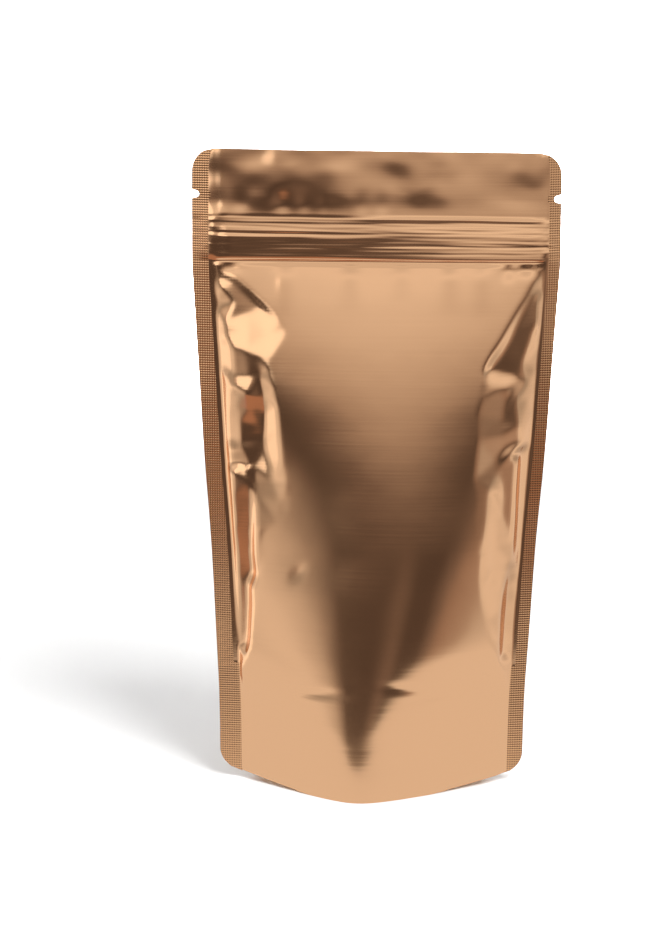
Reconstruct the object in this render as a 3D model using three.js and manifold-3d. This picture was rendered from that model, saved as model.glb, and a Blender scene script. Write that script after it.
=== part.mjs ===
// Foil stand-up pouch, filled and shut: one welded piece of metallised film.
// A front and a back panel meet in flat side seals, a press-to-close zip crosses them under
// a flat header with two tear notches, and a gusset opens the base so that the pouch stands.
// Millimetres. The front faces -Y, up is +Z, and the origin is on the floor under the middle.
import * as THREE from "three";
import { mergeVertices } from "three/addons/utils/BufferGeometryUtils.js";
import Module from "manifold-3d";

// Driving sizes
const FLAT_WIDTH = 130;
const HEIGHT = 230;
const BASE_WIDTH = 111;
const BASE_DEPTH = 52;
const SEAL_WIDTH = 7.4;
const SEAL_THICKNESS = 0.8;
const CORNER_RADIUS = 8;
const HEADER_HEIGHT = 22.9;
const ZIP_HEIGHT = 15.5;

// Places worked out from them
const ZIP_TOP = HEIGHT - HEADER_HEIGHT;
const ZIP_BOTTOM = ZIP_TOP - ZIP_HEIGHT;
const BODY_TOP = ZIP_BOTTOM - 1.2;
const TAPER_START = 28;
const FILM = SEAL_THICKNESS / 2;

// The hem is the bottom edge of a panel. It lies flat under the middle and lifts at the corners.
const HEM = { flatHalfWidth: 20, lift: 4.5, power: 1.3, fadeHeight: 45 };
// The zip and header droop a little to the right, and the header's film is slack between the seals.
const HEADER = { droop: 1.4, wave: 0.9, waveLength: 54, wavePhase: 0.9 };
// The belly: how its depth falls off with height, and how far the bottom edge tucks in.
const BELLY = { heightPower: 1.35, edgePower: 0.7, tuck: 0.6, tuckHeight: 14 };
// The broad face between the folds keeps this share of its depth back from a flat panel.
const CROWN = 0.35;
// Below this band of heights the folds fade into the rounded base.
const FOLD_FADE = { from: 28, to: 80 };

// Ribs that the zip's profile presses through the film: middle above the zip's bottom edge,
// width and how far each stands out.
const ZIP_RIBS = [
  { middle: 4.8, width: 8.4, relief: 1.3 },
  { middle: 11.1, width: 3.6, relief: 0.9 },
  { middle: 14.0, width: 1.8, relief: 0.4 },
];

// Folds run down each panel from the zip's ends: [height, distance from the middle line].
// Dents are where the film between a fold and its seal has buckled: height, reach, depth, or
// a negative depth where it has buckled outward.
const FRONT = {
  facing: -1,
  left: {
    fold: [[190, 56], [168, 31], [157, 37.8], [137, 34.7], [108, 30], [92, 39], [60, 42]],
    dents: [[175, 6, 1.6], [151, 7, 3], [131, 11, 3], [112, 8, 1.6], [85, 10, 1.2]],
  },
  right: {
    fold: [[190, 56], [169, 46.3], [155, 39.3], [140, 35.8], [126, 35.4], [117, 41], [100, 39.4], [70, 42]],
    dents: [[163, 9, 2.2], [138, 10, 2.6], [108, 12, -1.4], [78, 9, 1.4]],
  },
};
const BACK = {
  facing: 1,
  left: {
    fold: [[190, 56], [171, 46.3], [160, 39.3], [142, 35.8], [122, 35.4], [110, 41], [96, 39.4], [76, 42]],
    dents: [[166, 9, 2.2], [140, 10, 2.6], [104, 12, -1.4], [84, 9, 1.4]],
  },
  right: {
    fold: [[190, 56], [171, 31], [162, 37.8], [138, 34.7], [103, 30], [94, 39], [66, 42]],
    dents: [[178, 6, 1.6], [157, 7, 3], [132, 11, 3], [106, 8, 1.6], [88, 10, 1.2]],
  },
};

// How finely each stretch of the panels is divided
const FLANK_COLUMNS = 7;
const FACE_COLUMNS = 16;
const BODY_ROW = 4.2;

const clamp01 = (t) => Math.min(1, Math.max(0, t));
const smoothstep = (from, to, v) => {
  const t = clamp01((v - from) / (to - from));
  return t * t * (3 - 2 * t);
};
const smoothMin = (a, b, radius) => {
  const h = clamp01(0.5 + (0.5 * (b - a)) / radius);
  return b * (1 - h) + a * h - radius * h * (1 - h);
};

// A corner's rounding: how far the edge draws in at this distance from the sheet's end.
function cornerInset(fromEnd) {
  const short = Math.max(0, CORNER_RADIUS - fromEnd);
  return CORNER_RADIUS - Math.sqrt(CORNER_RADIUS ** 2 - short ** 2);
}

// Half the width over the side seals, before the corners are rounded.
function halfWidth(z) {
  const widen = clamp01((z - TAPER_START) / (BODY_TOP - TAPER_START));
  return BASE_WIDTH / 2 + ((FLAT_WIDTH - BASE_WIDTH) / 2) * widen;
}

// Distance from the middle line to the inner edge of the side seal.
const seam = (z) => halfWidth(z) - SEAL_WIDTH;

function outerEdge(row) {
  return halfWidth(row) - Math.max(cornerInset(row), cornerInset(HEIGHT - row));
}

// Height of the hem over the floor at this place across the pouch.
function hemLift(x) {
  const out = Math.max(0, Math.abs(x) - HEM.flatHalfWidth);
  return HEM.lift * (out / (seam(0) - HEM.flatHalfWidth)) ** HEM.power;
}

// Depth of the belly on the middle line.
function bellyDepth(z) {
  const full = (1 - clamp01(z / BODY_TOP) ** BELLY.heightPower) ** BELLY.edgePower;
  const tuck = BELLY.tuck * clamp01(1 - z / BELLY.tuckHeight) ** 2;
  return (BASE_DEPTH / 2 - FILM) * full - tuck;
}

// Distance of a fold from the middle line, straight between its points.
function foldDistance(points, z) {
  if (z >= points[0][0]) return points[0][1];
  for (let i = 1; i < points.length; i++) {
    const [lowZ, lowX] = points[i];
    const [highZ, highX] = points[i - 1];
    if (z >= lowZ) return lowX + ((highX - lowX) * (z - lowZ)) / (highZ - lowZ);
  }
  return points.at(-1)[1];
}

// How far the panel stands out from the seals' plane: a crowned face between the folds,
// and a slanting flank from each fold to its seal.
function panelDepth(panel, x, z) {
  const edge = seam(z);
  const across = clamp01(Math.abs(x) / edge);
  const belly = bellyDepth(z);
  const side = x < 0 ? panel.left : panel.right;
  const fold = foldDistance(side.fold, z);
  const foldDepth = belly * (1 - CROWN * (fold / edge) ** 2);
  const outward = (edge - Math.abs(x)) / (edge - fold);
  const face = belly * (1 - CROWN * across ** 2);
  let folded = smoothMin(face, foldDepth * Math.max(0, outward), 0.5);
  for (const [height, reach, depth] of side.dents) {
    const up = clamp01(1 - Math.abs(z - height) / reach);
    const over = clamp01(outward) * clamp01(1 - outward) * 4;
    folded -= Math.min(depth, foldDepth / 3) * up * up * (3 - 2 * up) * over;
  }
  const rounded = belly * (1 - across ** 2);
  const keep = smoothstep(FOLD_FADE.from, FOLD_FADE.to, z);
  return Math.max(0, rounded * (1 - keep) + folded * keep);
}

// Relief of the zip under the film. Where it runs into the side seals it is crushed flat.
function zipRelief(x, z) {
  const up = z - ZIP_BOTTOM;
  const inside = 0.35 + 0.65 * smoothstep(0, 2, seam(z) - Math.abs(x));
  let relief = 0;
  for (const rib of ZIP_RIBS) {
    const off = Math.abs(up - rib.middle) / (rib.width / 2);
    if (off < 1) relief = Math.max(relief, rib.relief * (1 - off ** 4));
  }
  return relief * inside;
}

// The slack header's sideways wave, which both films share.
function headerWave(x, z) {
  const rise = smoothstep(ZIP_TOP, HEIGHT, z);
  const across = 1 - clamp01(Math.abs(x) / seam(z)) ** 2;
  return HEADER.wave * rise * across * Math.sin((2 * Math.PI * x) / HEADER.waveLength + HEADER.wavePhase);
}

// Heights of the grid's rows: close at the corners and the zip's ribs, even along the body.
function rowHeights() {
  const rows = [0, 0.8, 2.4, 4.8, CORNER_RADIUS];
  const bodyRows = Math.round((BODY_TOP - CORNER_RADIUS) / BODY_ROW);
  for (let i = 1; i <= bodyRows; i++) rows.push(CORNER_RADIUS + ((BODY_TOP - CORNER_RADIUS) * i) / bodyRows);
  for (const { middle, width } of ZIP_RIBS) {
    for (const share of [-0.5, -0.3, 0.3, 0.5]) rows.push(ZIP_BOTTOM + middle + width * share);
  }
  const headerBottom = ZIP_TOP + 1.5;
  const cornerStart = HEIGHT - CORNER_RADIUS;
  for (let i = 0; i <= 3; i++) rows.push(headerBottom + ((cornerStart - headerBottom) * i) / 3);
  for (const below of [4.8, 2.4, 0.8, 0]) rows.push(HEIGHT - below);
  return rows;
}

// Places across one row: outer edge, seam, flank, face, flank, seam, outer edge.
function columnPlaces(panel, row) {
  const edge = outerEdge(row);
  const inner = Math.min(seam(row), edge - 0.5);
  const foldAt = (side) => Math.min(foldDistance(side.fold, row), inner - 2);
  const left = foldAt(panel.left);
  const right = foldAt(panel.right);
  const places = [-edge];
  for (let i = 0; i < FLANK_COLUMNS; i++) places.push(-inner + ((inner - left) * i) / FLANK_COLUMNS);
  for (let i = 0; i < FACE_COLUMNS; i++) places.push(-left + ((left + right) * i) / FACE_COLUMNS);
  for (let i = 0; i <= FLANK_COLUMNS; i++) places.push(right + ((inner - right) * i) / FLANK_COLUMNS);
  places.push(edge);
  return places;
}

// One point of a panel, at its place across and its row's height.
function panelPoint(panel, x, row) {
  const lift = hemLift(x) * clamp01(1 - row / HEM.fadeHeight);
  const droop = (HEADER.droop * x * smoothstep(BODY_TOP, ZIP_TOP, row)) / FLAT_WIDTH;
  const depth = FILM + (row < BODY_TOP ? panelDepth(panel, x, row) : zipRelief(x, row));
  return [x, panel.facing * depth + headerWave(x, row), row + lift - droop];
}

// The gusset across one column of the base: a welded rim, then film that the filling has
// pressed flat on the floor, with the crease of its fold along the middle.
const BASE_STEPS = [
  { inset: 2.4, rise: 0.9 },
  { inset: 4.8, rise: 0 },
  { inset: 21, rise: 0 },
  { inset: 24.5, rise: 0.7 },
];

function basePoints(front, back) {
  const span = back[1] - front[1];
  const stepsIn = (step) => (step.inset / BASE_DEPTH) * span;
  const rise = (step) => (step.rise * span) / BASE_DEPTH;
  const height = (front[2] + back[2]) / 2;
  const half = BASE_STEPS.map((step) => [front[0], front[1] + stepsIn(step), height + rise(step)]);
  const mirrored = BASE_STEPS.map((step) => [back[0], back[1] - stepsIn(step), height + rise(step)]);
  return [...half, ...mirrored.reverse()];
}

// The closed skin of the whole pouch, from one grid of points for each panel.
function pouchGeometry() {
  const rows = rowHeights();
  const positions = [];
  const add = (point) => positions.push(...point) / 3 - 1;
  const sheet = (panel) => rows.map((row) => columnPlaces(panel, row).map((x) => add(panelPoint(panel, x, row))));
  const front = sheet(FRONT);
  const back = sheet(BACK);
  const last = front[0].length - 1;
  const pointOf = (index) => positions.slice(3 * index, 3 * index + 3);

  const triangles = [];
  const triangle = (a, b, c) => {
    if (a !== b && b !== c && c !== a) triangles.push(a, b, c);
  };
  const quad = (a, b, c, d) => {
    triangle(a, b, c);
    triangle(a, c, d);
  };

  for (let j = 0; j < rows.length - 1; j++) {
    for (let i = 0; i < last; i++) {
      quad(front[j][i], front[j][i + 1], front[j + 1][i + 1], front[j + 1][i]);
      quad(back[j][i + 1], back[j][i], back[j + 1][i], back[j + 1][i + 1]);
    }
    quad(back[j][0], front[j][0], front[j + 1][0], back[j + 1][0]);
    quad(front[j][last], back[j][last], back[j + 1][last], front[j + 1][last]);
  }
  const top = rows.length - 1;
  const base = front[0].map((corner, i) => {
    const inside = i > 0 && i < last;
    const between = basePoints(pointOf(corner), pointOf(back[0][i]));
    return [corner, ...between.map((point) => (inside ? add(point) : corner)), back[0][i]];
  });
  for (let i = 0; i < last; i++) {
    quad(front[top][i], front[top][i + 1], back[top][i + 1], back[top][i]);
    for (let k = 0; k < base[0].length - 1; k++) {
      quad(base[i][k], base[i][k + 1], base[i + 1][k + 1], base[i + 1][k]);
    }
  }
  const geometry = new THREE.BufferGeometry();
  geometry.setAttribute("position", new THREE.Float32BufferAttribute(positions, 3));
  geometry.setIndex(triangles);
  return geometry;
}

// A tear notch: a slot with a round end, punched through the seal from the side.
const NOTCH = { below: 16, depth: 2.6, width: 2.6 };

function notchGeometry(sideSign) {
  const radius = NOTCH.width / 2;
  const punch = new THREE.Shape();
  punch.moveTo(CORNER_RADIUS, -radius);
  punch.lineTo(CORNER_RADIUS, radius);
  punch.absarc(radius - NOTCH.depth, 0, radius, Math.PI / 2, (3 * Math.PI) / 2);
  const through = 6 * SEAL_THICKNESS;
  const geometry = new THREE.ExtrudeGeometry(punch, { depth: through, bevelEnabled: false, curveSegments: 8 });
  geometry.translate(0, 0, -through / 2);
  geometry.rotateX(Math.PI / 2);
  if (sideSign < 0) geometry.rotateZ(Math.PI);
  const droop = (HEADER.droop * sideSign) / 2;
  geometry.translate((sideSign * FLAT_WIDTH) / 2, 0, HEIGHT - NOTCH.below - droop);
  return geometry;
}

const wasm = await Module();
wasm.setup();

// A closed mesh as a solid that can be cut.
function solidFrom(geometry) {
  const bare = geometry.clone();
  bare.deleteAttribute("normal");
  bare.deleteAttribute("uv");
  const merged = mergeVertices(bare, 1e-4);
  return new wasm.Manifold(
    new wasm.Mesh({
      numProp: 3,
      vertProperties: merged.attributes.position.array,
      triVerts: new Uint32Array(merged.index.array),
    }),
  );
}

function geometryFrom(solid) {
  const cut = solid.getMesh();
  const geometry = new THREE.BufferGeometry();
  geometry.setAttribute("position", new THREE.BufferAttribute(new Float32Array(cut.vertProperties), 3));
  geometry.setIndex(new THREE.BufferAttribute(new Uint32Array(cut.triVerts), 1));
  geometry.computeVertexNormals();
  return geometry;
}

let pouchSolid = solidFrom(pouchGeometry());
for (const sideSign of [-1, 1]) pouchSolid = pouchSolid.subtract(solidFrom(notchGeometry(sideSign)));

// Film printed a clear copper over bright aluminium
const copperFoil = new THREE.MeshStandardMaterial({ color: 0xd69c66, roughness: 0.22, metalness: 1 });

const pouch = new THREE.Mesh(geometryFrom(pouchSolid), copperFoil);
pouch.name = "foil_pouch";

const model = new THREE.Group();
model.add(pouch);
export default model;
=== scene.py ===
import math

import bmesh
import bpy
from mathutils import Matrix, Vector, noise
from mathutils.bvhtree import BVHTree
from mathutils.geometry import delaunay_2d_cdt


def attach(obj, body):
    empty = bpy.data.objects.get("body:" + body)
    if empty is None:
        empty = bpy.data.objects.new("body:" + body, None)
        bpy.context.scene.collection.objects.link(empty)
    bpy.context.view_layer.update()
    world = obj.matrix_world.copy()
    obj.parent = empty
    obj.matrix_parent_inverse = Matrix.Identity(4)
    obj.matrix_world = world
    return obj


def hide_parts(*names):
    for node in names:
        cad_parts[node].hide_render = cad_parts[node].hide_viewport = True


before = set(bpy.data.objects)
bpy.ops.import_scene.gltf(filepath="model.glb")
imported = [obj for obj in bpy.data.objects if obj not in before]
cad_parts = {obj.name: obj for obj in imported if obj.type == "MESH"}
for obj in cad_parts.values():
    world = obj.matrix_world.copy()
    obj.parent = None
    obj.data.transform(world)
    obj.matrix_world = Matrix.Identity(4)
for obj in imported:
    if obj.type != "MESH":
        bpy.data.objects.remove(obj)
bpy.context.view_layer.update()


# ---- Camera -----------------------------------------------------------------------------------
# It looks down on the pouch by 12 degrees from 0.9 m in front, a little to the right of square on.
# Its aim passes 116 mm above the middle of the base and 17 mm to its left, so the pouch stands a
# little to the right of the picture's middle.
CAMERA_DISTANCE = 0.900
CAMERA_DOWN = math.radians(12.0)
CAMERA_TURN = math.radians(1.5)
CAMERA_ROLL = math.radians(0.36)
AIM_RIGHT = -0.01735
AIM_UP = 0.1160
FRAME_HEIGHT_PX = 928
FOCAL_PX = 2444
SENSOR_MM = 36.0
FARTHEST_SEEN = 30.0

away = Vector((math.sin(CAMERA_TURN) * math.cos(CAMERA_DOWN),
               -math.cos(CAMERA_TURN) * math.cos(CAMERA_DOWN),
               math.sin(CAMERA_DOWN)))
right = Vector((math.cos(CAMERA_TURN), math.sin(CAMERA_TURN), 0.0))
up = away.cross(right)
lens = bpy.data.cameras.new("camera")
lens.sensor_fit = "VERTICAL"
lens.sensor_height = SENSOR_MM
lens.lens = FOCAL_PX / FRAME_HEIGHT_PX * SENSOR_MM
lens.clip_end = FARTHEST_SEEN
camera = bpy.data.objects.new("camera", lens)
bpy.context.collection.objects.link(camera)
turned = Matrix((right, up, away)).transposed().to_4x4() @ Matrix.Rotation(CAMERA_ROLL, 4, "Z")
camera.matrix_world = Matrix.Translation(
    away * CAMERA_DISTANCE + right * AIM_RIGHT + up * AIM_UP) @ turned
bpy.context.scene.camera = camera


# ---- Floor and studio light -------------------------------------------------------------------
# A white sweep: a wide floor whose rim curves up all round, and for the foil's mirror a smaller
# sheet of white paper under the pouch, in a dim room with bright screens at the left and right.
# The paper glows at a fixed strength instead of being lit by the lamps: painted light.
SWEEP_RADIUS = 3.0
SWEEP_PROFILE = [(0.0, 0.0), (0.7, 0.0), (0.88, 0.12), (0.97, 0.5), (1.0, 2.4)]  # share, height
SWEEP_STEPS = 64
SAME_VERTEX = 1e-5
PAPER_RADIUS = 0.205
PAPER_FADES_FROM = 0.145
PAPER_BELOW_FLOOR = 0.0005
PAPER_SIDES = 96
# painted light: the paper under the pouch glows at this strength in place of lamp light on it
PAPER_GLOW = 0.95  # how bright the foil mirrors the paper


def linear(code):
    """The linear RGBA of an sRGB hex value such as "E0AC7C"."""
    parts = [int(code[i:i + 2], 16) / 255 for i in (0, 2, 4)]
    return [c / 12.92 if c <= 0.04045 else ((c + 0.055) / 1.055) ** 2.4 for c in parts] + [1.0]


def add_node(tree, kind, links=(), **settings):
    """Adds a node. A setting names a property; a link joins an output to an input or sets the
    input's value.
    """
    made = tree.nodes.new(kind)
    for name, value in settings.items():
        if hasattr(made, name):
            setattr(made, name, value)
    for socket, value in links:
        if isinstance(value, bpy.types.NodeSocket):
            tree.links.new(value, made.inputs[socket])
        else:
            made.inputs[socket].default_value = value
    return made


def new_material(name):
    """An empty node material and the socket that its shader goes into."""
    made = bpy.data.materials.new(name)
    made.use_nodes = True
    made.node_tree.nodes.clear()
    end = made.node_tree.nodes.new("ShaderNodeOutputMaterial")
    return made, made.node_tree, end.inputs["Surface"]


paper_material, tree, surface = new_material("white_paper_sweep")
paper = add_node(tree, "ShaderNodeBsdfDiffuse", [("Color", linear("D6D6D6"))])
tree.links.new(paper.outputs[0], surface)

sweep = bmesh.new()
profile = [sweep.verts.new((SWEEP_RADIUS * share, 0.0, height)) for share, height in SWEEP_PROFILE]
edges = [sweep.edges.new(pair) for pair in zip(profile, profile[1:])]
bmesh.ops.spin(sweep, geom=profile + edges, cent=(0, 0, 0), axis=(0, 0, 1),
               angle=2 * math.pi, steps=SWEEP_STEPS, use_merge=True)
bmesh.ops.remove_doubles(sweep, verts=sweep.verts, dist=SAME_VERTEX)
bmesh.ops.recalc_face_normals(sweep, faces=sweep.faces)
sweep_mesh = bpy.data.meshes.new("floor_sweep")
sweep.to_mesh(sweep_mesh)
sweep.free()
for face in sweep_mesh.polygons:
    face.use_smooth = True
floor = bpy.data.objects.new("floor_sweep", sweep_mesh)
floor.data.materials.append(paper_material)
floor.visible_glossy = False
bpy.context.collection.objects.link(floor)

sheet = bmesh.new()
bmesh.ops.create_circle(sheet, cap_ends=True, segments=PAPER_SIDES, radius=PAPER_RADIUS,
                        matrix=Matrix.Translation((0.0, 0.0, -PAPER_BELOW_FLOOR)))
sheet_mesh = bpy.data.meshes.new("paper_under_pouch")
sheet.to_mesh(sheet_mesh)
sheet.free()
glowing_paper_material, tree, surface = new_material("glowing_white_paper_in_the_mirror")
place = add_node(tree, "ShaderNodeTexCoord").outputs["Object"]
reach = add_node(tree, "ShaderNodeVectorMath", [(0, place)], operation="LENGTH")
faded = add_node(tree, "ShaderNodeMapRange", [(0, reach.outputs["Value"]), (1, PAPER_FADES_FROM),
                 (2, PAPER_RADIUS), (3, 0.0), (4, 1.0)], interpolation_type="SMOOTHSTEP")
# painted light: the paper glows at a fixed strength instead of being lit by the lamps
paper = add_node(tree, "ShaderNodeEmission", [("Color", linear("FFFFFF")),
                 ("Strength", PAPER_GLOW)])
clear = add_node(tree, "ShaderNodeBsdfTransparent")
rim = add_node(tree, "ShaderNodeMixShader", [(0, faded.outputs[0]), (1, paper.outputs[0]),
               (2, clear.outputs[0])])
tree.links.new(rim.outputs[0], surface)
mirror_paper = bpy.data.objects.new("paper_under_pouch", sheet_mesh)
mirror_paper.data.materials.append(glowing_paper_material)
mirror_paper.visible_camera = False
mirror_paper.visible_diffuse = False
mirror_paper.visible_shadow = False
bpy.context.collection.objects.link(mirror_paper)


def area_light(name, place, target, size, power):
    """A round soft light at place, turned to target, that the foil's mirror doesn't show."""
    data = bpy.data.lights.new(name, "AREA")
    data.shape = "DISK"
    data.size = size
    data.energy = power
    made = bpy.data.objects.new(name, data)
    made.location = place
    made.rotation_euler = (Vector(target) - Vector(place)).to_track_quat("-Z", "Y").to_euler()
    made.visible_glossy = False
    bpy.context.collection.objects.link(made)


area_light("key_light", place=(0.62, -0.8, 1.15), target=(0, 0, 0.05), size=0.8, power=34.0)
area_light("wall_light", place=(0, 1.2, 1.2), target=(0, 3, 0.2), size=2.0, power=260.0)

# Strength and warmth of the room's light: by the angle to the right of the camera, and by height.
# The camera's own side is dim and warm, the screens stand left and right, and the ceiling is lit.
BRIGHTEST = 2.2
AROUND = [(-180, 0.4, "FFFFFF"), (-140, 0.8, "FFFFFF"), (-112, 1.3, "FFFFFF"),
          (-92, 1.5, "FFFFFF"), (-72, 1.4, "FFFFFF"), (-66, 1.05, "FFFFFF"), (-62, 1.0, "FFFFFF"),
          (-55, 1.0, "FFFFFF"), (-48, 0.94, "FFFFFF"), (-39, 0.78, "FFFCFA"),
          (-33, 0.45, "FFF4F0"), (-28, 0.2, "FFECE6"), (-24, 0.11, "FFE9E1"),
          (-12, 0.11, "FFE9E1"), (-2, 0.15, "FFE9E1"), (8, 0.24, "FFE9E1"), (12, 0.22, "FFE9E1"),
          (18, 0.12, "FFE9E1"), (28, 0.11, "FFE9E1"), (33, 0.22, "FFECE6"), (38, 0.42, "FFE6DB"),
          (46, 0.56, "FFF0EA"), (51, 0.85, "FFFFFF"), (56, 0.98, "FFFFFF"), (75, 1.0, "FFFFFF"),
          (110, 1.0, "FFFFFF"), (145, 0.6, "FFFFFF"), (180, 0.4, "FFFFFF")]
UPWARD = [(-1.0, 0.5, "FFCDB4"), (-0.39, 0.5, "FFCDB4"), (-0.345, 0.25, "FFD9C6"),
          (-0.3, 0.11, "FFE9E1"), (-0.12, 0.10, "FFE9E1"), (-0.05, 0.15, "FFE9E1"),
          (0.0, 0.24, "FFECE6"), (0.07, 0.46, "FFF2EC"), (0.15, 0.64, "FFF8F4"),
          (0.24, 0.83, "FFFDFB"), (0.34, 0.94, "FFFFFF"), (0.42, 1.08, "FFFFFF"),
          (0.55, 0.85, "FFFFFF"), (0.8, 0.9, "FFFFFF"), (1.0, 0.4, "FFFFFF")]
# The screens weaken towards the floor and the ceiling: between two heights, from and to a share.
FLOORWARD = (-0.6, -0.25, 0.4, 1.0)
SKYWARD = (-0.22, -0.02, 1.0, 0.5)
# A soft box up at the left, full within 10 degrees of its middle and gone at 16.
SOFTBOX_TOWARD = (-0.442, -0.868, 0.225)
SOFTBOX_GONE = 0.961
SOFTBOX_FULL = 0.985
SOFTBOX_STRENGTH = 1.6

room = bpy.data.worlds.new("studio")
room.use_nodes = True
tree = room.node_tree
tree.nodes.clear()
toward = add_node(tree, "ShaderNodeTexCoord").outputs["Generated"]
axis = add_node(tree, "ShaderNodeSeparateXYZ", [(0, toward)])
ahead = add_node(tree, "ShaderNodeMath", [(0, axis.outputs["Y"]), (1, -1.0)],
                 operation="MULTIPLY")
turn = add_node(tree, "ShaderNodeMath", [(0, axis.outputs["X"]), (1, ahead.outputs[0])],
                operation="ARCTAN2")
angles = [(math.radians(angle), strength, warmth) for angle, strength, warmth in AROUND]
lights = []
for measure, highest, stops in ((turn.outputs[0], math.pi, angles),
                                (axis.outputs["Z"], 1.0, UPWARD)):
    place = add_node(tree, "ShaderNodeMapRange", [(0, measure), (1, -highest), (2, highest)],
                     clamp=True)
    stripe = add_node(tree, "ShaderNodeValToRGB", [(0, place.outputs[0])])
    elements = stripe.color_ramp.elements
    while len(elements) < len(stops):
        elements.new(0.5)
    for element, (value, strength, warmth) in zip(elements, stops):
        element.position = (value + highest) / (2 * highest)
        element.color = [c * strength / BRIGHTEST for c in linear(warmth)[:3]] + [1.0]
    lights.append(stripe.outputs[0])
around, upward = lights
for weakening in (FLOORWARD, SKYWARD):
    share = add_node(tree, "ShaderNodeMapRange",
                     [(0, axis.outputs["Z"])] + list(enumerate(weakening, start=1)), clamp=True)
    around = add_node(tree, "ShaderNodeVectorMath", [(0, around), (1, share.outputs[0])],
                      operation="MULTIPLY").outputs[0]
nearness = add_node(tree, "ShaderNodeVectorMath", [(0, toward), (1, SOFTBOX_TOWARD)],
                    operation="DOT_PRODUCT").outputs["Value"]
softbox = add_node(tree, "ShaderNodeMapRange", [
    (0, nearness), (1, SOFTBOX_GONE), (2, SOFTBOX_FULL), (3, 0.0),
    (4, SOFTBOX_STRENGTH / BRIGHTEST)], interpolation_type="SMOOTHSTEP", clamp=True)
lit = around
for other in (upward, softbox.outputs[0]):
    lit = add_node(tree, "ShaderNodeVectorMath", [(0, lit), (1, other)],
                   operation="MAXIMUM").outputs[0]
light = add_node(tree, "ShaderNodeBackground", [("Color", lit), ("Strength", BRIGHTEST)])
tree.links.new(light.outputs[0], add_node(tree, "ShaderNodeOutputWorld").inputs["Surface"])
bpy.context.scene.world = room
bpy.context.scene.view_settings.view_transform = "Standard"


# ---- Front and back film ----------------------------------------------------------------------
# Two sheets of copper-metallised polyester and polyethylene laminate, 0.12 mm thick, welded to
# each other by side seals and drawn apart by the filling. Each is a fine grid of the flat sheet,
# carried to where the film lies: seals, folded belly, zip ribs and flat header.
MM = 0.001  # the frame is in metres, a pouch is measured in millimetres
HEIGHT = 230.0
HALF_WIDTHS = [(0, 55.4), (28, 55.7), (60, 57.1), (90, 58.6), (120, 60.8), (150, 62.6),
               (190, 65.0)]
SEAL_WIDTHS = {-1: 7.9, 1: 5.6}  # left and right: the belly stands a little to the right
CORNER_RADIUS = 8.0
ZIP_TOP = 207.1
ZIP_BOTTOM = 191.6
BODY_TOP = 190.4
FILM_THICKNESS = 0.12
HALF_WELD = 0.14
GUSSET_TOP = 43.5
NOTCH_HEIGHT = 214.0
NOTCH_DEPTH = 2.6
NOTCH_HALF_WIDTH = 1.45
NOTCH_BLUNTNESS = 2.5

# Heights above the floor against measures of the belly's face: the depth of its middle, how wide
# the round of that middle is, how far it lies to the right, and how far out to the left and right
# the two sides of the face would meet the middle plane.
FACE_DEPTH = [(0, 26.2), (10, 25.1), (20, 23.9), (40, 21.9), (60, 20.3), (80, 18.8),
              (100, 17.0), (120, 14.8), (140, 12.0), (160, 8.4), (175, 5.0), (185, 2.3),
              (191, 0.5)]
FACE_ROUND = [(0, 9), (10, 9), (20, 12), (34, 22), (53, 34), (72, 36), (90, 35), (109, 31),
              (125, 36), (150, 50), (191, 70)]
FACE_MIDDLE = [(0, -4), (10, -4), (20, -3.6), (34, -1.5), (53, 2.2), (72, 4.8), (90, 7.2),
               (109, 6.7), (125, 5.5), (150, 3), (191, 0)]
FACE_REACH_LEFT = [(0, 47.4), (28, 47.7), (40, 50.5), (53, 54), (72, 57), (90, 59), (109, 62),
                   (130, 72), (150, 88), (191, 110)]
FACE_REACH_RIGHT = [(0, 49.8), (28, 50.1), (40, 52), (53, 58), (72, 63), (90, 67), (109, 70),
                    (130, 78), (150, 92), (191, 110)]

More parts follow.
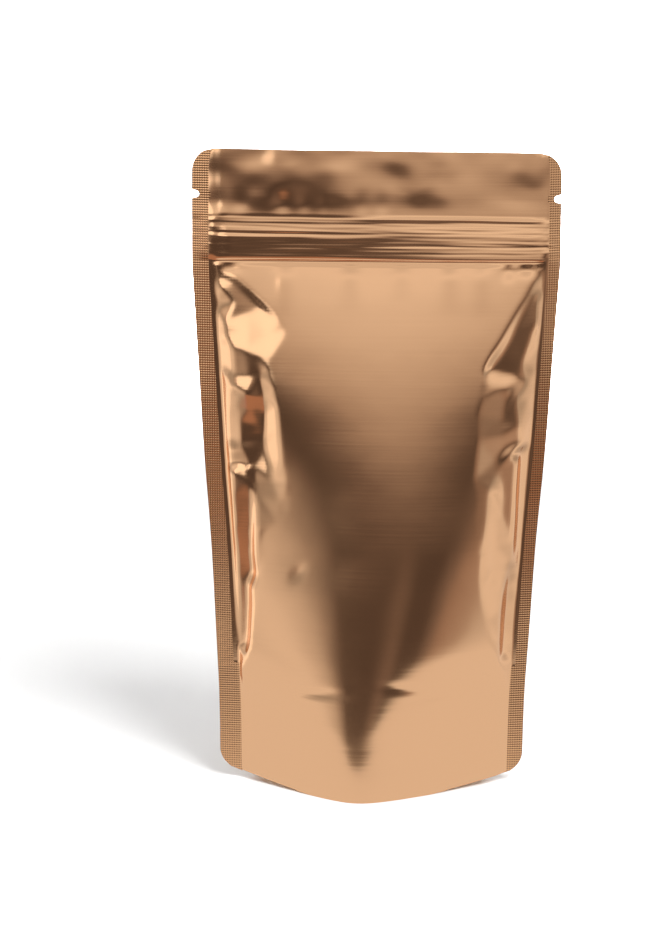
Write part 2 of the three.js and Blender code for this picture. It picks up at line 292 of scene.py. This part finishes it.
# Creases of the flanks. Each is a line of points: how far across from the middle, the height, and
# how far the film stands off the middle plane. The first line of a flank is its ridge, which lies
# on the face and so has no depths of its own.
LEFT_CREASES = [
    [(57.6, 190.6), (49.3, 185.3), (40.0, 176.9), (33.8, 170.8), (31.0, 167.5), (34.8, 161.8),
     (37.8, 157.7), (37.9, 154.7), (36.7, 150.9), (35.6, 147), (34.6, 141), (34.0, 132.5),
     (33.0, 121.8), (31.5, 114.5), (29.6, 107.4), (30.0, 103.5), (34.5, 99), (39.2, 94.5),
     (39.6, 85), (40.2, 76), (42.0, 70), (43.4, 62), (44.4, 54), (45.4, 48), (47.4, 42),
     (49.0, 34)],
    [(56.6, 189.2, 0.5), (49.5, 184.1, 1.4), (44.7, 179.9, 2.2), (40.5, 175.9, 3.0)],
    [(54.8, 182, 1.1), (49.8, 177.0, 2.1), (44.5, 173.4, 2.9), (40.5, 175.9, 3.0)],
    [(53.6, 170, 2.3), (46.0, 167.5, 3.9), (38.0, 166.0, 5.1)],
    [(53.2, 165.0, 2.8), (51.1, 161.2, 3.8), (45.6, 160.0, 5.2), (42.0, 156.5, 5.9),
     (39.6, 152.2, 6.2)],
    [(52.8, 150.9, 2.9), (50.3, 151.0, 3.8), (44.5, 151.4, 5.4), (41.2, 151.6, 5.9),
     (39.6, 152.2, 6.2)],
    [(50.2, 147.0, 4.7), (45.0, 144.6, 6.3), (39.5, 144.0, 5.9), (38.7, 138, 5.2),
     (38.8, 130, 4.9)],
    [(51.8, 128, 2.0), (52.1, 138, 2.4), (51.8, 146.8, 3.4), (48.0, 143.6, 5.0),
     (43.9, 139.7, 5.4), (41.0, 133.2, 5.0), (39.6, 129.0, 4.8), (38.6, 125, 5.2),
     (37.4, 120.9, 5.9), (35.9, 113.8, 7.3), (33.6, 107.0, 8.8), (31.0, 102.8, 9.8)],
    [(50.6, 145.0, 3.8), (49.6, 140, 3.9), (48.0, 134, 4.0), (47.6, 128, 4.0), (47.8, 125, 4.0)],
    [(51.4, 124.0, 3.0), (46.0, 124.0, 4.6), (40.3, 123.3, 5.0)],
    [(51.1, 118.3, 2.4), (46.4, 119.4, 4.0), (43.2, 113.6, 5.0), (41.2, 107.4, 6.2)],
    [(43.4, 118.5, 4.9), (42.9, 113, 5.2), (42.4, 107, 6.0), (42.2, 95.5, 6.8), (42.3, 86, 6.6),
     (41.6, 79, 6.7), (43.4, 74, 6.0), (43.4, 66, 5.8), (43.9, 58, 5.4), (45.0, 50, 4.4)],
    [(45.2, 117.3, 5.5), (44.3, 113, 5.4), (43.7, 107, 5.0), (43.5, 95.5, 4.1), (43.6, 86, 3.3),
     (43.0, 79, 2.8), (44.8, 74, 2.4), (44.8, 66, 1.8), (45.1, 58, 1.2), (46.0, 51, 0.9)],
    [(51.2, 116.5, 4.1), (50.7, 108, 3.8), (50.0, 95, 3.0), (49.2, 84, 2.1), (48.7, 75, 1.6),
     (48.2, 64, 1.0), (47.8, 55, 0.6)]]
RIGHT_CREASES = [
    [(57.4, 190.4), (54.6, 183.9), (50.4, 175.9), (46.0, 168.4), (42.2, 161.5), (38.7, 154.3),
     (38.6, 152.5), (37.5, 144.1), (36.2, 138.8), (36.6, 129.9), (35.8, 115.7), (36.6, 104),
     (38.6, 93.4), (39.2, 75), (41.5, 64), (43.5, 56), (45.5, 48), (47.8, 42), (49.5, 34)],
    [(57.6, 186, 0.6), (55.4, 180.0, 1.5), (52.2, 175.5, 2.5), (48.5, 167.2, 3.5),
     (44.4, 159.9, 4.5), (39.8, 154.1, 5.5)],
    [(57.9, 178, 1.2), (57.6, 170, 1.7), (55.6, 165.2, 2.1), (52.3, 155.7, 2.9),
     (51.0, 150.4, 3.1)],
    [(39.8, 154.1, 5.5), (44.5, 152.8, 4.5), (49.2, 151.6, 3.5), (51.0, 150.4, 3.1)],
    [(39.8, 149.5, 7.3), (44.0, 148, 6.3), (48.0, 147.5, 5.2)],
    [(49.0, 149.5, 4.4), (46.5, 143.5, 5.4), (45.5, 136.3, 6.0), (45.4, 131, 6.6)],
    [(51.0, 150.4, 3.1), (50.4, 143.2, 4.6), (51.7, 134.2, 4.5), (52.2, 128.7, 4.0)],
    [(54.6, 150, 1.9), (54.4, 143, 2.0), (54.4, 134, 2.0), (54.0, 127, 1.9)],
    [(52.2, 128.7, 4.0), (46.8, 126.1, 6.0), (43.5, 121.8, 7.4), (43.2, 116.8, 8.0),
     (44.2, 110.5, 8.0)],
    [(51.4, 126.5, 5.0), (47.8, 123.8, 6.6), (45.4, 120.5, 7.0), (45.0, 116.5, 7.2),
     (45.8, 110.5, 6.9), (46.2, 102, 6.6)],
    [(41.0, 111.6, 9.6), (40.6, 100, 10.4), (40.2, 93.4, 10.8), (40.6, 84, 10.6)],
    [(42.6, 110, 8.5), (43.0, 100, 8.3), (42.9, 91.4, 8.4), (42.6, 82, 8.6), (42.5, 74.6, 8.9)],
    [(50.9, 122, 5.1), (50.4, 112, 5.4), (50.2, 102, 5.3), (49.8, 92, 5.1), (49.0, 85, 5.0)],
    [(52.4, 124, 1.8), (52.2, 112, 1.5), (51.9, 102, 1.5), (51.5, 93, 1.7), (50.8, 86, 2.6)],
    [(47.9, 82.4, 5.5), (46.4, 76, 6.4), (45.5, 66.8, 6.9), (45.5, 55.3, 6.2), (46.4, 48, 4.4)],
    [(49.2, 81, 3.4), (49.2, 76, 2.2), (48.6, 68, 1.8), (48.0, 58, 1.8), (47.6, 50, 2.2)]]
# Heights on the front film against the heights of the same creases on the back film.
BACK_HEIGHTS = [(0, 0), (34, 34), (70, 78), (110, 104), (150, 157), (168, 171),
                (190.6, 190.6), (230, 230)]

# The zip under the films: height above its lower edge against how far it lifts each film. At the
# left its ribs stand clear of each other, at the right the film hugs them and leans back.
LEFT_ZIP_RELIEF = [(0, 0.0), (0.3, 0.55), (0.8, 1.05), (1.6, 1.18), (8.4, 1.22), (8.9, 1.1),
                   (9.4, 0.92), (9.7, 0.94), (10.2, 1.0), (12.9, 0.52), (13.2, 0.42),
                   (13.5, 0.5), (15.0, 0.22), (15.3, 0.12), (15.5, 0.2)]
RIGHT_ZIP_RELIEF = [(0, 0.0), (0.3, 0.5), (0.8, 0.86), (4.9, 0.86), (5.2, 0.72), (5.5, 0.72),
                    (5.8, 0.84), (9.5, 0.84), (9.8, 0.74), (10.1, 0.78), (13.7, 0.4), (15.0, 0.62),
                    (15.5, 0.2)]
ZIP_RIGHT_LEAN = 0.15
CRUSHED_SHARE = 0.45  # of the relief, where the zip ends are crushed into the seals


def ease(low, high, value):
    """0 below low, 1 above high, and a smooth S between them."""
    share = min(1.0, max(0.0, (value - low) / (high - low)))
    return share * share * (3 - 2 * share)


def smooth_through(points, at):
    """A smooth curve through (place, value) points that never overshoots them."""
    places = [p[0] for p in points]
    values = [p[1] for p in points]
    at = min(max(at, places[0]), places[-1])
    slopes = [(b - a) / (q - p) for p, q, a, b in zip(places, places[1:], values, values[1:])]
    bends = [slopes[0]] + [2 * a * b / (a + b) if a * b > 0 else 0.0
                           for a, b in zip(slopes, slopes[1:])] + [slopes[-1]]
    i = max(k for k in range(len(slopes)) if places[k] <= at)
    step = places[i + 1] - places[i]
    t = (at - places[i]) / step
    return ((2 * t ** 3 - 3 * t ** 2 + 1) * values[i] + (t ** 3 - 2 * t ** 2 + t) * step * bends[i]
            + (3 * t ** 2 - 2 * t ** 3) * values[i + 1] + (t ** 3 - t ** 2) * step * bends[i + 1])


def straight_through(points, at):
    """Straight lines through (place, value) points."""
    for (p, a), (q, b) in zip(points, points[1:]):
        if at <= q:
            return a + (b - a) * max(0.0, at - p) / (q - p)
    return points[-1][1]


def half_width(height):
    """Half the pouch's width: drawn in at the base, full at the header."""
    return smooth_through(HALF_WIDTHS, height)


def hand_of(across):
    """-1 on the left half of the pouch and 1 on the right."""
    return -1 if across < 0 else 1


def seam_at(height, hand):
    """How far out the inner edge of the left (-1) or right (1) side seal lies."""
    return half_width(height) - SEAL_WIDTHS[hand]


def face_depth(across, height):
    """How far the belly's smooth face stands off the middle plane; across is positive right."""
    depth = smooth_through(FACE_DEPTH, height)
    rounding = smooth_through(FACE_ROUND, height)
    middle = smooth_through(FACE_MIDDLE, height)
    reach = smooth_through(FACE_REACH_RIGHT if across > middle else FACE_REACH_LEFT, height)
    end = reach - middle if across > middle else reach + middle
    fall = math.hypot(across - middle, rounding) - rounding
    return depth * (1 - fall / (math.hypot(end, rounding) - rounding))


# The seams are fold lines through these heights, and rays come down on the folds from far above.
SEAM_HEIGHTS = range(30, 192, 4)
SAME_POINT = 1e-4
OVER_THE_FOLDS = 100.0


class Film:
    """One film of the pouch. side is -1 for the front and 1 for the back."""

    def __init__(self, side, left_creases, right_creases):
        self.side = side
        self.flanks = {}
        self.ridges = {}
        for hand, creases in ((-1, left_creases), (1, right_creases)):
            ridge = [(x, z, face_depth(hand * x, z)) for x, z in creases[0]]
            self.ridges[hand] = sorted((z, x) for x, z, depth in ridge)
            seam = [(seam_at(z, hand), z, 0.0) for z in SEAM_HEIGHTS]
            self.flanks[hand] = self.folded([ridge, seam] + creases[1:])

    @staticmethod
    def folded(creases):
        """The film folded flat between its creases: a surface to be met by rays."""
        points = [point for crease in creases for point in crease]
        edges = []
        start = 0
        for crease in creases:
            edges += [(start + i, start + i + 1) for i in range(len(crease) - 1)]
            start += len(crease)
        flat, _, faces, origin, _, _ = delaunay_2d_cdt(
            [Vector(point[:2]) for point in points], edges, [], 0, SAME_POINT)
        depths = [points[who[0]][2] if who else None for who in origin]
        known = [(Vector(place), depth) for place, depth in zip(flat, depths) if depth is not None]
        for i, place in enumerate(flat):
            if depths[i] is None:
                near = sorted(known, key=lambda other: (other[0] - place).length)[:2]
                depths[i] = sum(depth for _, depth in near) / 2
        return BVHTree.FromPolygons([(p.x, p.y, d) for p, d in zip(flat, depths)], faces)

    def depth(self, across, height):
        """How far the belly's film stands off the middle plane."""
        hand = hand_of(across)
        out = abs(across)
        if height < self.ridges[hand][0][0] or out <= straight_through(self.ridges[hand], height):
            return max(0.0, face_depth(across, height))
        start = Vector((out, height, OVER_THE_FOLDS))
        place = self.flanks[hand].ray_cast(start, Vector((0, 0, -1)))[0]
        return max(0.0, place.z) if place else 0.0


# Marks that the filling and the gusset under it leave on the face: across, height, half length,
# half height, how deep and how much the mark's right end rises.
FACE_MARKS = [(-20, 38, 8.0, 1.5, 0.35, 0.8), (14, 40.5, 9.0, 1.7, 0.2, -1.4),
              (23, 37, 7.0, 1.5, 0.22, 0.6), (-27, 81, 2.6, 2.6, 0.3, 1.5)]
# Puckers under the zip: across, half width, how far down they run and how high they stand, or how
# deep they dip if negative.
PUCKERS = [(-32, 4.0, 20, 0.75), (-9, 4.0, 16, 0.6), (9, 4.0, 13, 0.4), (26, 4.0, 17, 0.7),
           (37, 4.0, 18, 0.65), (46.5, 2.5, 7, -1.0), (-52, 5.0, 4.5, -0.9), (53, 4.5, 5, -1.1)]
MARK_REACH = 2.5  # a mark's dip has died away this many half lengths out
# How a pucker widens and fades on its way down.
PUCKER_SPREAD = 0.6
PUCKER_FADE = 1.5


def face_marks(across, height):
    """How far the marks and puckers move the film outward."""
    out = 0.0
    for middle, at, length, tall, deep, rise in FACE_MARKS:
        along = (across - middle) / length
        if abs(along) < MARK_REACH and abs(height - at) < 2 * MARK_REACH * tall:
            off = (height - at - rise * along) / tall
            out -= deep * math.exp(-along * along - off * off)
    for middle, wide, run, tall in PUCKERS:
        below = (BODY_TOP - height) / run
        if 0 <= below < 1:
            off = (across - middle) / (wide * (PUCKER_SPREAD + PUCKER_SPREAD * below))
            fade = (1 - below) ** PUCKER_FADE * ease(-0.1, 0.3, below)
            out += tall * math.exp(-off * off) * fade
    return out


# The header leans back, less so in its hollows: across, half width, over which heights the film
# comes forward there, and how far.
HEADER_HOLLOWS = [(-30, 17, 207.5, 225, 2.15), (-54, 8, 215, 232, 0.9), (8, 9, 216, 227, 0.65),
                  (16, 9, 209, 219, 0.6), (54, 6, 217, 226, 0.3)]
# How much the side seals turn back, against the height.
SEAL_TURNS = {-1: [(0, 0.1), (45, 0.1), (60, 0.22), (80, 0.18), (95, 0.1), (142, 0.1),
                   (155, 0.16), (190, 0.18), (205, 0.27), (215, 0.12), (230, 0.1)],
              1: [(0, 0.1), (45, 0.27), (55, 0.27), (66, 0.18), (76, 0.18), (90, 0.27),
                  (102, 0.27), (114, 0.18), (150, 0.18), (165, 0.27), (185, 0.29), (200, 0.33),
                  (230, 0.31)]}
# The right of the pouch bows back: how strongly, from how far across, and over which heights the
# bow sets in.
BOW_CURVE = 0.0011
BOW_FROM = 15
BOW_BETWEEN = (125, 185)
# How far back the header lies for each millimetre up, and how much more of that at the right.
HEADER_LEAN = 0.115
HEADER_LEAN_AT_RIGHT = 0.008
RIPPLES_FREE_ABOVE = 7  # how far over the zip the ripples reach their full height
# Ripples of the header: how high, how long across and upward, and the seed of their chance.
RIPPLES = [(0.25, 24, 13, 4.2), (0.07, 10, 9, 9.1)]
# How far chance moves the hollows' outlines, across and upward.
HOLLOWS_MOVED = (4, 2.5)
# Small pleats over the left of the zip: how deep, how wide, how much chance favours them, and how
# far up they end.
PLEAT_DEPTH = 0.5
PLEAT_WIDTH = 6
PLEAT_SHARE = 0.4
PLEAT_TOP = 11


def chance(across, height, seed):
    """A smooth random value between -1 and 1, always the same at the same place."""
    return noise.noise(Vector((across, height, seed)))


def middle_plane(across, height):
    """How far back the middle plane bows: the header leans and ripples, more at the right."""
    bow = BOW_CURVE * max(0.0, across - BOW_FROM) ** 2 * ease(*BOW_BETWEEN, height)
    above = max(0.0, height - ZIP_TOP)
    ripple = sum(tall * chance(across / wide, height / long, seed)
                 for tall, wide, long, seed in RIPPLES)
    lean = (HEADER_LEAN + HEADER_LEAN_AT_RIGHT * ease(-20, 20, across)) * above
    at = across + HOLLOWS_MOVED[0] * chance(across / 11, height / 8, 2.2)
    over = height + HOLLOWS_MOVED[1] * chance(across / 9, height / 10, 6.6)
    for middle, half, low, high, depth in HEADER_HOLLOWS:
        lean -= depth * ease(low, high, over) * math.exp(-((at - middle) / half) ** 2)
    pleat = PLEAT_DEPTH * max(0.0, PLEAT_SHARE + chance(across / PLEAT_WIDTH, 0.0, 3.3))
    lean += pleat * ease(0, 4, above) * ease(PLEAT_TOP, 4, above) * ease(20, -10, across)
    at_zip = min(ZIP_TOP, max(ZIP_BOTTOM, height)) - ZIP_BOTTOM
    lean += ZIP_RIGHT_LEAN * ease(-15, 40, across) * at_zip
    out = max(0.0, abs(across) - seam_at(height, hand_of(across)))
    turn = straight_through(SEAL_TURNS[hand_of(across)], height) * out * out / (out + 1.0)
    return bow + lean + ease(0, RIPPLES_FREE_ABOVE, above) * ripple + turn


# How uneven the ribs are, how far a film stands off under the zip and in the header, over what
# width it rounds off at a seam and at the zip's ends, and in the crushed ends how bumpy it is and
# how much of the ribs is lost towards the edge.
ZIP_HEIGHT = ZIP_TOP - ZIP_BOTTOM
RIB_WANDER = 0.35
RIB_UNEVENNESS = 0.1
SLACK_UNDER_ZIP = 0.3
HEADER_GAP = 0.22
SEAM_ROUND = 3.0
ZIP_END_ROUND = 6.0
CRUSHED_BUMPS = 0.12
CRUSHED_FADE = 0.7
# Over which heights the crushed ends set in and end, and the seal's step at the gusset's top.
CRUSHED_SETS_IN = (ZIP_BOTTOM - 1, ZIP_BOTTOM + 3.5)
CRUSHED_ENDS = (ZIP_TOP, ZIP_TOP - 2)
GUSSET_STEP = 0.6


def zip_relief(across, height):
    """How far the zip lifts the film off the middle plane."""
    up = height - ZIP_BOTTOM
    wander = RIB_WANDER * chance(across / 30, 0.5, 7.0)
    along = up + wander * ease(0, 3, up) * ease(ZIP_HEIGHT, 12, up)
    share = ease(-22, 18, across + 3 * chance(height / 2, 1.0, 3.0))
    lift = (straight_through(LEFT_ZIP_RELIEF, along) * (1 - share)
            + straight_through(RIGHT_ZIP_RELIEF, along) * share)
    lift += RIB_UNEVENNESS * chance(across / 22, height / 0.7, 2.0) * ease(1, 2, up)
    return max(0.0, lift)


def film_offset(film, across, height):
    """How far a film stands off the middle plane inside the seals: belly, zip or header."""
    if height <= BODY_TOP:
        return max(0.0, film.depth(across, height) + face_marks(across * -film.side, height))
    seam = seam_at(height, hand_of(across))
    open_film = ease(seam, seam - SEAM_ROUND, abs(across))
    if height < ZIP_BOTTOM:
        return SLACK_UNDER_ZIP * open_film
    if height < ZIP_TOP:
        clear = ease(seam, seam - ZIP_END_ROUND, abs(across))
        return zip_relief(across, height) * (CRUSHED_SHARE + (1 - CRUSHED_SHARE) * clear)
    return HEADER_GAP * open_film


def seal_offset(across, height):
    """How far the welded film stands off the middle plane: four films below the gusset's top."""
    four = ease(GUSSET_TOP + GUSSET_STEP, GUSSET_TOP - GUSSET_STEP, height)
    layers = HALF_WELD + FILM_THICKNESS * four
    at_zip = ease(*CRUSHED_SETS_IN, height) * ease(*CRUSHED_ENDS, height)
    crushed = chance(across / 2.6, height / 2.0, 1.0)
    crushed += 0.5 * chance(across / 1.2, height / 1.1, 5.0)
    outward = ease(seam_at(height, hand_of(across)), side_edge(height), abs(across))
    ribs = CRUSHED_SHARE * zip_relief(across, height) * (1 - CRUSHED_FADE * outward)
    return layers + at_zip * (ribs + CRUSHED_BUMPS * crushed)


def spaced(*spans):
    """Heights or shares along a run of spans, each (start, end, count), without repeats."""
    values = [spans[0][0]]
    for start, end, count in spans:
        values += [start + (end - start) * (i + 1) / count for i in range(count)]
    return values


# The grid: columns over a seal, over its knurled part and over the film between the seals, and the
# heights of the rows, closest where the zip, the notches and the corners need it.
SEAL_COLUMNS = 8
KNURL_COLUMNS = 6
PANEL_COLUMNS = 116
NOTCH_REACH = 1.6
ROWS = spaced((0, 6, 6), (6, BODY_TOP, 160), (BODY_TOP, ZIP_BOTTOM, 3),
              (ZIP_BOTTOM, ZIP_TOP, 44), (ZIP_TOP, NOTCH_HEIGHT - NOTCH_REACH, 5),
              (NOTCH_HEIGHT - NOTCH_REACH, NOTCH_HEIGHT + NOTCH_REACH, 16),
              (NOTCH_HEIGHT + NOTCH_REACH, HEIGHT - CORNER_RADIUS, 6),
              (HEIGHT - CORNER_RADIUS, HEIGHT, 10))
# A seal's least width beside a notch or a corner, and the steps in which a row is measured.
NARROWEST_SEAL = 0.4
MEASURED_STEPS = 240
# Where the creases are softened once they are folded, how often, and how strongly each time.
CREASE_FROM = 27.0
CREASE_TO_SEAM = 0.3
CREASE_TO_ZIP = 2
CREASE_SOFTENING = 2
SOFTENING_STRENGTH = 0.5
HEADER_DROOP = 0.7  # how far the header's right end hangs, and its left end rises
# The hem's ends rise: by how much, from how far across and over what run, in what curve, and up to
# which height.
HEM_LIFT = 3.0
HEM_FLAT = 20.0
HEM_RUN = 28.5
HEM_CURVE = 1.3
HEM_LIFT_ENDS = 45


def hem_lift(across):
    """How far the pouch's lower edge rises from the floor towards its ends."""
    return HEM_LIFT * max(0.0, abs(across) - HEM_FLAT) ** HEM_CURVE / HEM_RUN ** HEM_CURVE


def side_edge(height):
    """Where the sheet's cut edge lies: rounded corners and the two tear notches."""
    edge = half_width(height)
    for corner in (CORNER_RADIUS - height, height - (HEIGHT - CORNER_RADIUS)):
        if corner > 0:
            edge -= CORNER_RADIUS - math.sqrt(max(0.0, CORNER_RADIUS ** 2 - corner ** 2))
    off = abs(height - NOTCH_HEIGHT) / NOTCH_HALF_WIDTH
    if off < 1:
        edge -= NOTCH_DEPTH * (1 - off ** NOTCH_BLUNTNESS) ** 0.5
    return edge


def column_places(film, height):
    """Where each column of the grid lies across the film, evenly along its surface."""
    edge = side_edge(height)
    left, right = (min(seam_at(height, hand), edge - NARROWEST_SEAL) for hand in (-1, 1))
    fine = [-left + (left + right) * i / MEASURED_STEPS
            for i in range(MEASURED_STEPS + 1)]
    offs = [film_offset(film, x, height) for x in fine]
    run = [0.0]
    for i in range(MEASURED_STEPS):
        run.append(run[-1] + math.hypot(fine[i + 1] - fine[i], offs[i + 1] - offs[i]))
    places = []
    step = 0
    for column in range(PANEL_COLUMNS + 1):
        goal = run[-1] * column / PANEL_COLUMNS
        while step < MEASURED_STEPS - 1 and run[step + 1] < goal:
            step += 1
        part = (goal - run[step]) / (run[step + 1] - run[step])
        places.append(fine[step] + part * (fine[step + 1] - fine[step]))
    shares = [i / SEAL_COLUMNS for i in range(SEAL_COLUMNS)]
    return ([-edge + (edge - left) * share for share in shares] + places
            + [edge + (right - edge) * share for share in shares[::-1]])


def film_mesh(name, film):
    """The whole sheet of one film as a grid, laid where the film is."""
    columns = PANEL_COLUMNS + 2 * SEAL_COLUMNS
    sheet = bmesh.new()
    bmesh.ops.create_grid(sheet, x_segments=columns, y_segments=len(ROWS) - 1, size=1.0)
    across = [column_places(film, height) for height in ROWS]
    column_of = {}
    for vert in sheet.verts:
        column = column_of[vert] = round((vert.co.x + 1) / 2 * columns)
        row = round((vert.co.y + 1) / 2 * (len(ROWS) - 1))
        x = across[row][column]
        height = ROWS[row]
        off = seal_offset(x, height)
        if SEAL_COLUMNS < column < columns - SEAL_COLUMNS:
            off = HALF_WELD + film_offset(film, x, height)
        lift = hem_lift(x) * max(0.0, 1 - height / HEM_LIFT_ENDS)
        droop = HEADER_DROOP * -x / half_width(height) * ease(BODY_TOP, ZIP_TOP, height)
        z = height + lift + droop
        y = film.side * off + middle_plane(x, height)
        vert.co = Vector((x, y, z)) * MM
    creased = []
    for vert in sheet.verts:
        height = vert.co.z / MM
        seam = seam_at(height, hand_of(vert.co.x))
        if (CREASE_FROM < abs(vert.co.x / MM) < seam - CREASE_TO_SEAM
                and height < BODY_TOP - CREASE_TO_ZIP):
            creased.append(vert)
    for _ in range(CREASE_SOFTENING):
        bmesh.ops.smooth_vert(sheet, verts=creased, factor=SOFTENING_STRENGTH, use_axis_x=True,
                              use_axis_y=True, use_axis_z=True)
    for face in sheet.faces:
        column = min(column_of[vert] for vert in face.verts)
        low = min(vert.co.z for vert in face.verts) < GUSSET_TOP * MM
        knurl = SEAL_COLUMNS if low else KNURL_COLUMNS
        knurled = column < knurl or column >= columns - knurl
        face.material_index = 1 if knurled else 0
        face.smooth = True
    for edge in sheet.edges:
        edge.smooth = not edge.is_boundary
    if film.side > 0:
        bmesh.ops.reverse_faces(sheet, faces=sheet.faces)
    made = bpy.data.meshes.new(name)
    sheet.to_mesh(made)
    sheet.free()
    return made


# Copper-metallised film: a mirror of vacuum-deposited aluminium under a copper-tinted lacquer and
# a clear gloss coat. The eye gets soft, slightly dulled reflections in copper.
FILM_COLOUR = "E2B084"
STREAKS_PER_METRE = (18, 18, 900)  # the rolling streaks are 55 mm long and 1.1 mm tall
STREAK_DEPTH = 0.04
WOBBLES_PER_METRE = 55.0  # the slack film's shallow dimples lie 18 mm apart
WOBBLE_DEPTH = 0.4
film_material, tree, surface = new_material("copper_metallised_film")
place = add_node(tree, "ShaderNodeTexCoord").outputs["Object"]
streak_scale = add_node(tree, "ShaderNodeMapping", [("Vector", place),
                        ("Scale", STREAKS_PER_METRE)])
streaks = add_node(tree, "ShaderNodeTexNoise", [("Vector", streak_scale.outputs[0]),
                   ("Scale", 1.0), ("Detail", 2.0)])
wobble = add_node(tree, "ShaderNodeTexNoise", [("Vector", place), ("Scale", WOBBLES_PER_METRE),
                  ("Detail", 1.5)])
bump = add_node(tree, "ShaderNodeBump", [("Height", wobble.outputs[0]), ("Strength", 0.25),
                ("Distance", WOBBLE_DEPTH * MM)])
fine = add_node(tree, "ShaderNodeBump", [("Height", streaks.outputs[0]), ("Strength", 0.2),
                ("Distance", STREAK_DEPTH * MM), ("Normal", bump.outputs[0])])
foil = add_node(tree, "ShaderNodeBsdfPrincipled", [
    ("Base Color", linear(FILM_COLOUR)), ("Metallic", 1.0), ("Roughness", 0.13),
    ("Coat Weight", 0.5), ("Coat Roughness", 0.06), ("Normal", fine.outputs[0])])
tree.links.new(foil.outputs[0], surface)

# The same film where the hot knurled jaws pressed it: a grid of tiny pits. Its colour carries
# painted
# shade: the pits are coloured darker than the lands between them, a fine dark and light check.
KNURL_PITCH = 0.85
PIT_DEPTH = 0.09
PIT_PAINTED_SHADE_COLOUR = "84593A"
LAND_COLOUR = "DCAB80"
UPRIGHT_SHARE = 0.7
WAVE_SPACING = math.pi / 10  # between the bands of a wave texture at scale 1, in metres
weld_material, tree, surface = new_material("copper_film_knurled_weld")
place = add_node(tree, "ShaderNodeTexCoord").outputs["Object"]
knurl_scale = WAVE_SPACING * 1000 / KNURL_PITCH
upright, level = (add_node(tree, "ShaderNodeTexWave", [("Vector", place), ("Scale", knurl_scale)],
                           bands_direction=direction) for direction in ("X", "Z"))
pits = add_node(tree, "ShaderNodeMath", [(0, upright.outputs["Fac"]), (1, UPRIGHT_SHARE),
                (2, level.outputs["Fac"])], operation="MULTIPLY_ADD")
bump = add_node(tree, "ShaderNodeBump", [("Height", pits.outputs[0]), ("Strength", 0.5),
                ("Distance", PIT_DEPTH * MM)])
# painted shade: the ramp colours the film darker in the knurl's pits than on the lands
shade = add_node(tree, "ShaderNodeValToRGB", [(0, pits.outputs[0])])
for element, colour in zip(shade.color_ramp.elements, (PIT_PAINTED_SHADE_COLOUR, LAND_COLOUR)):
    element.color = linear(colour)
foil = add_node(tree, "ShaderNodeBsdfPrincipled", [
    ("Base Color", shade.outputs[0]), ("Metallic", 1.0), ("Roughness", 0.16),
    ("Normal", bump.outputs[0])])
tree.links.new(foil.outputs[0], surface)


def finish_film(name, mesh, finishes):
    """Makes a film sheet a finished piece: its thickness, its finishes and what it rides on."""
    made = bpy.data.objects.new(name, mesh)
    bpy.context.collection.objects.link(made)
    wall = made.modifiers.new("wall", "SOLIDIFY")
    wall.thickness = FILM_THICKNESS * MM
    wall.offset = -1.0
    for finish in finishes:
        made.data.materials.append(finish)
    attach(made, "root")
    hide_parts("foil_pouch")


# The back has the front's folds, mirrored from left to right and shifted in height.
back_creases = [[[(point[0], straight_through(BACK_HEIGHTS, point[1])) + tuple(point[2:])
                  for point in crease] for crease in creases]
                for creases in (RIGHT_CREASES, LEFT_CREASES)]
for name, film in (("front_film", Film(-1, LEFT_CREASES, RIGHT_CREASES)),
                   ("back_film", Film(1, *back_creases))):
    finish_film(name, film_mesh(name, film), (film_material, weld_material))


# ---- Gusset -----------------------------------------------------------------------------------
# The same copper-metallised film closes the base: a lens-shaped sheet between the two films,
# arched up into the pouch and welded along its rim to the insides of their hems.
GUSSET_RISE = 13.0
GUSSET_ROWS = 24
GUSSET_COLUMNS = 72
WELD_HEIGHT = 1.2
INTO_THE_SEAL = 1.5
BASE_HALF_DEPTH = 26.0

gusset_sheet = bmesh.new()
bmesh.ops.create_grid(gusset_sheet, x_segments=GUSSET_COLUMNS, y_segments=GUSSET_ROWS, size=1.0)
for vert in gusset_sheet.verts:
    along = vert.co.x
    share = vert.co.y
    x = along * (seam_at(0, hand_of(along)) + INTO_THE_SEAL)
    reach = HALF_WELD + max(0.0, face_depth(x, WELD_HEIGHT))
    rise = GUSSET_RISE * (1 - share * share) * (reach / BASE_HALF_DEPTH)
    y = share * (reach - FILM_THICKNESS)
    vert.co = Vector((x, y, WELD_HEIGHT + hem_lift(x) + rise)) * MM
for face in gusset_sheet.faces:
    face.smooth = True
gusset_mesh = bpy.data.meshes.new("gusset_film")
gusset_sheet.to_mesh(gusset_mesh)
gusset_sheet.free()
finish_film("gusset_film", gusset_mesh, (film_material,))
